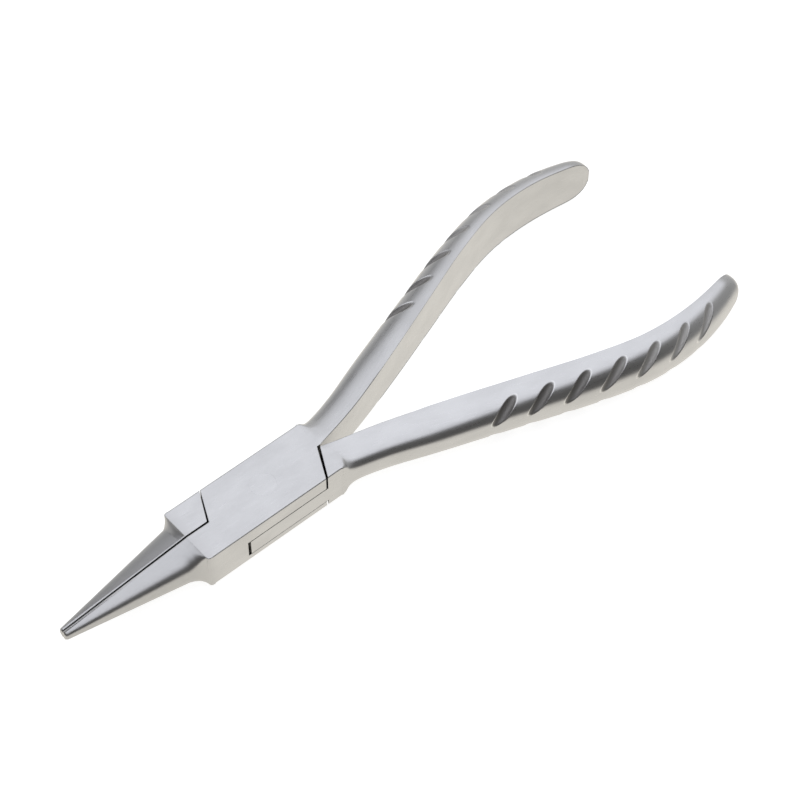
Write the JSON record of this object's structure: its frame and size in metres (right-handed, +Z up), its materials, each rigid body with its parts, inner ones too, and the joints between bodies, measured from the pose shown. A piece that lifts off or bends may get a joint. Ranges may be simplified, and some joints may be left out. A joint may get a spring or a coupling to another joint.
{
  "type": "crimping pliers",
  "caption": "All-steel box-joint jewellery pliers with tapered half-round jaws and long bowed handles with oblique finger flutes.",
  "frame": {"origin": "centre of the tool's footprint, on the surface it lies on", "axes": "+X from the jaw tips to the handle ends, +Y from the tongue half's handle to the box half's handle, +Z up out of the flat face"},
  "size_m": [0.1298, 0.0472, 0.01],
  "materials": {
    "brushed_steel": "satin, fine brushed grain",
    "ground_pin": "ground flush with the joint's faces"
  },
  "bodies": {
    "box_half": {"box_half": "brushed_steel", "pivot_pin": "ground_pin"},
    "tongue_half": {"tongue_half": "brushed_steel"}
  },
  "joints": [
    {"name": "jaw_pivot", "type": "hinge", "parent": "box_half", "child": "tongue_half", "pos_m": [-0.02533, 0, 0.00467], "axis": [0, 0, -1], "range_deg": [0, 32]}
  ]
}
